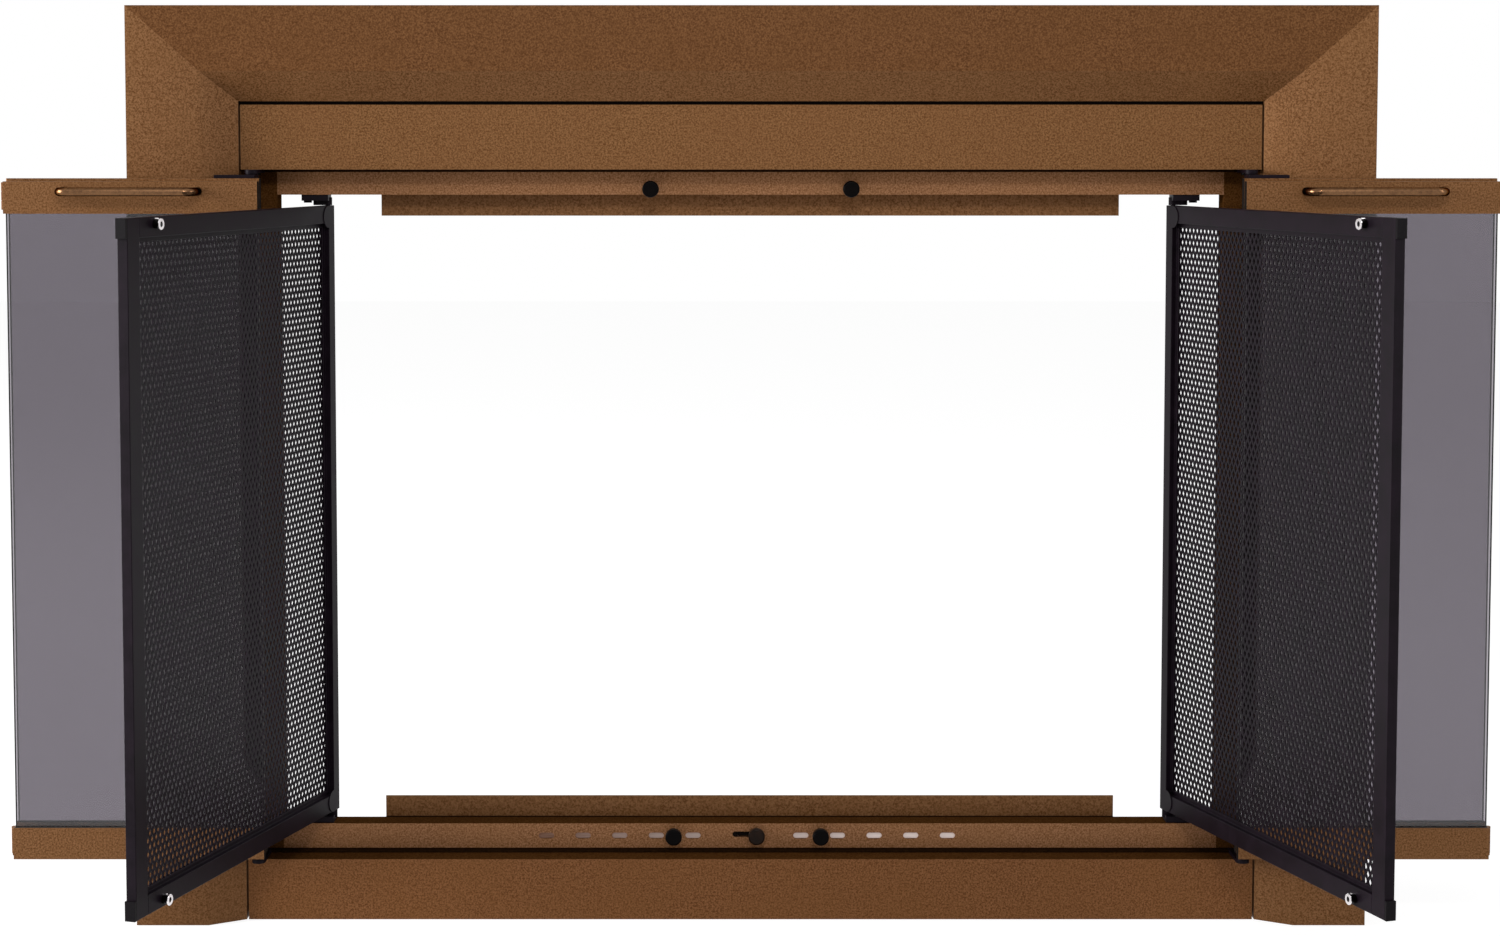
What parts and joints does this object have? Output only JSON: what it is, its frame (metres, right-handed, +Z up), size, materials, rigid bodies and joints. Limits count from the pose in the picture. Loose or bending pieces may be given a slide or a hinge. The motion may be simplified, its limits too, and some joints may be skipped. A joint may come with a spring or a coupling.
{
  "type": "fireplace glass door",
  "caption": "Bevelled steel fireplace surround with bifold smoked-glass door pairs, swinging mesh doors behind them and an air track with a sliding damper, shown open.",
  "frame": {"origin": "on the hearth, in the wall plane against which the surround stands, at the middle of the width", "axes": "+X to the right along the width, +Y back into the firebox, so the front faces -Y, +Z up"},
  "size_m": [1.321, 0.3802, 0.824],
  "materials": {
    "bronze_powder_coat": "fine textured bronze powder coat, satin",
    "dark_bronze_paint": "dark bronze, satin",
    "black_paint": "black, satin",
    "black_plastic": "black, satin",
    "grey_gasket": "dark grey, matt",
    "smoked_glass": "clear smoked grey, tempered",
    "antique_brass": "dark antique brass, satin",
    "nickel_plate": "nickel plated, bright",
    "zinc_plate": "zinc plated"
  },
  "bodies": {
    "frame": {"header_trim": "bronze_powder_coat", "column_trim_left": "bronze_powder_coat", "column_trim_right": "bronze_powder_coat", "lintel_panel": "bronze_powder_coat", "bottom_panel": "bronze_powder_coat", "head_rail": "bronze_powder_coat", "vent_track": "bronze_powder_coat", "jamb_left": "dark_bronze_paint", "jamb_right": "dark_bronze_paint", "stop_plates": "dark_bronze_paint", "corner_gussets": "zinc_plate", "door_catches": "black_plastic", "glass_pivot_brackets": "black_paint", "mesh_pivot_brackets": "black_paint", "lintel_clamps": "zinc_plate", "floor_brackets": "zinc_plate", "damper_guides": "zinc_plate", "frame_screws": "zinc_plate"},
    "damper": {"damper_plate": "dark_bronze_paint", "damper_knob": "black_plastic"},
    "pivot_door_left": {"pivot_top_rail_left": "bronze_powder_coat", "pivot_bottom_rail_left": "bronze_powder_coat", "pivot_glass_left": "smoked_glass", "pivot_gaskets_left": "grey_gasket", "pivot_straps_left": "black_paint", "pivot_fold_hinges_left": "dark_bronze_paint"},
    "lead_door_left": {"lead_top_rail_left": "bronze_powder_coat", "lead_bottom_rail_left": "bronze_powder_coat", "lead_glass_left": "smoked_glass", "lead_gaskets_left": "grey_gasket", "lead_fold_hinges_left": "dark_bronze_paint", "lead_handle_left": "antique_brass", "lead_handle_screws_left": "zinc_plate"},
    "mesh_door_left": {"mesh_top_rail_left": "black_paint", "mesh_bottom_rail_left": "black_paint", "mesh_hinge_stile_left": "black_paint", "mesh_free_stile_left": "black_paint", "mesh_screen_left": "black_paint", "mesh_plugs_left": "black_plastic", "mesh_catches_left": "nickel_plate"},
    "pivot_door_right": {"pivot_top_rail_right": "bronze_powder_coat", "pivot_bottom_rail_right": "bronze_powder_coat", "pivot_glass_right": "smoked_glass", "pivot_gaskets_right": "grey_gasket", "pivot_straps_right": "black_paint", "pivot_fold_hinges_right": "dark_bronze_paint"},
    "lead_door_right": {"lead_top_rail_right": "bronze_powder_coat", "lead_bottom_rail_right": "bronze_powder_coat", "lead_glass_right": "smoked_glass", "lead_gaskets_right": "grey_gasket", "lead_fold_hinges_right": "dark_bronze_paint", "lead_handle_right": "antique_brass", "lead_handle_screws_right": "zinc_plate"},
    "mesh_door_right": {"mesh_top_rail_right": "black_paint", "mesh_bottom_rail_right": "black_paint", "mesh_hinge_stile_right": "black_paint", "mesh_free_stile_right": "black_paint", "mesh_screen_right": "black_paint", "mesh_plugs_right": "black_plastic", "mesh_catches_right": "nickel_plate"}
  },
  "joints": [
    {"name": "damper_slide", "type": "slide", "parent": "frame", "child": "damper", "axis": [-1, 0, 0], "range_m": [0, 0.016]},
    {"name": "glass_pivot_left", "type": "hinge", "parent": "frame", "child": "pivot_door_left", "pos_m": [-0.4434, -0.0295, 0.37], "axis": [0, 0, 1], "range_deg": [0, 180]},
    {"name": "glass_fold_left", "type": "hinge", "parent": "pivot_door_left", "child": "lead_door_left", "pos_m": [-0.6581, -0.0504, 0.37], "axis": [0, 0, 1], "range_deg": [-180, 0]},
    {"name": "mesh_swing_left", "type": "hinge", "parent": "frame", "child": "mesh_door_left", "pos_m": [-0.3835, 0.025, 0.368], "axis": [0, 0, 1], "range_deg": [0, 107]},
    {"name": "glass_pivot_right", "type": "hinge", "parent": "frame", "child": "pivot_door_right", "pos_m": [0.4434, -0.0295, 0.37], "axis": [0, 0, 1], "range_deg": [-180, 0]},
    {"name": "glass_fold_right", "type": "hinge", "parent": "pivot_door_right", "child": "lead_door_right", "pos_m": [0.6581, -0.0504, 0.37], "axis": [0, 0, 1], "range_deg": [0, 180]},
    {"name": "mesh_swing_right", "type": "hinge", "parent": "frame", "child": "mesh_door_right", "pos_m": [0.3835, 0.025, 0.368], "axis": [0, 0, 1], "range_deg": [-108, 0]}
  ],
  "couplings": [
    {"joint": "glass_fold_left", "follows": "glass_pivot_left", "ratio": -1},
    {"joint": "mesh_swing_left", "follows": "glass_pivot_left", "ratio": 0.59444},
    {"joint": "glass_fold_right", "follows": "glass_pivot_right", "ratio": -1},
    {"joint": "mesh_swing_right", "follows": "glass_pivot_right", "ratio": 0.6}
  ]
}
